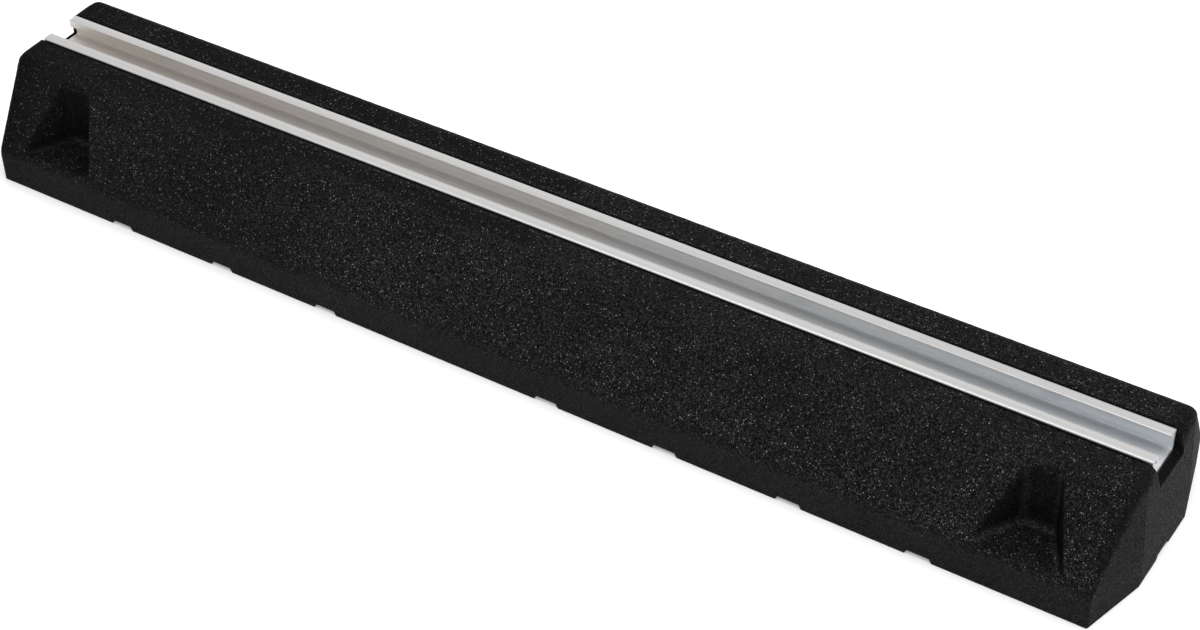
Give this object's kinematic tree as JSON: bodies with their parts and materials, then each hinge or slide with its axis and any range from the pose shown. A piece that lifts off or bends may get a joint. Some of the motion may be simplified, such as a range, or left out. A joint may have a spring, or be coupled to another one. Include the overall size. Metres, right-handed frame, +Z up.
{
  "type": "rubber floor support with mounting rail",
  "caption": "Long black bonded-rubber floor support with sloping flanks, recessed pockets, drain channels underneath and an aluminium C rail let into its top.",
  "frame": {"origin": "centre of the base on the surface that it stands on", "axes": "+X along the length, +Y across to the back, +Z up out of the rail's slot"},
  "size_m": [1, 0.188, 0.095],
  "materials": {
    "rubber_granulate": "matt bonded rubber granulate with fine pale specks",
    "rail_aluminium": "satin mill finish with fine lengthwise extrusion lines",
    "screw_steel": "zinc-plated steel"
  },
  "bodies": {
    "root": {"rubber_base": "rubber_granulate", "mounting_rail": "rail_aluminium", "rail_screws": "screw_steel"}
  },
  "joints": []
}
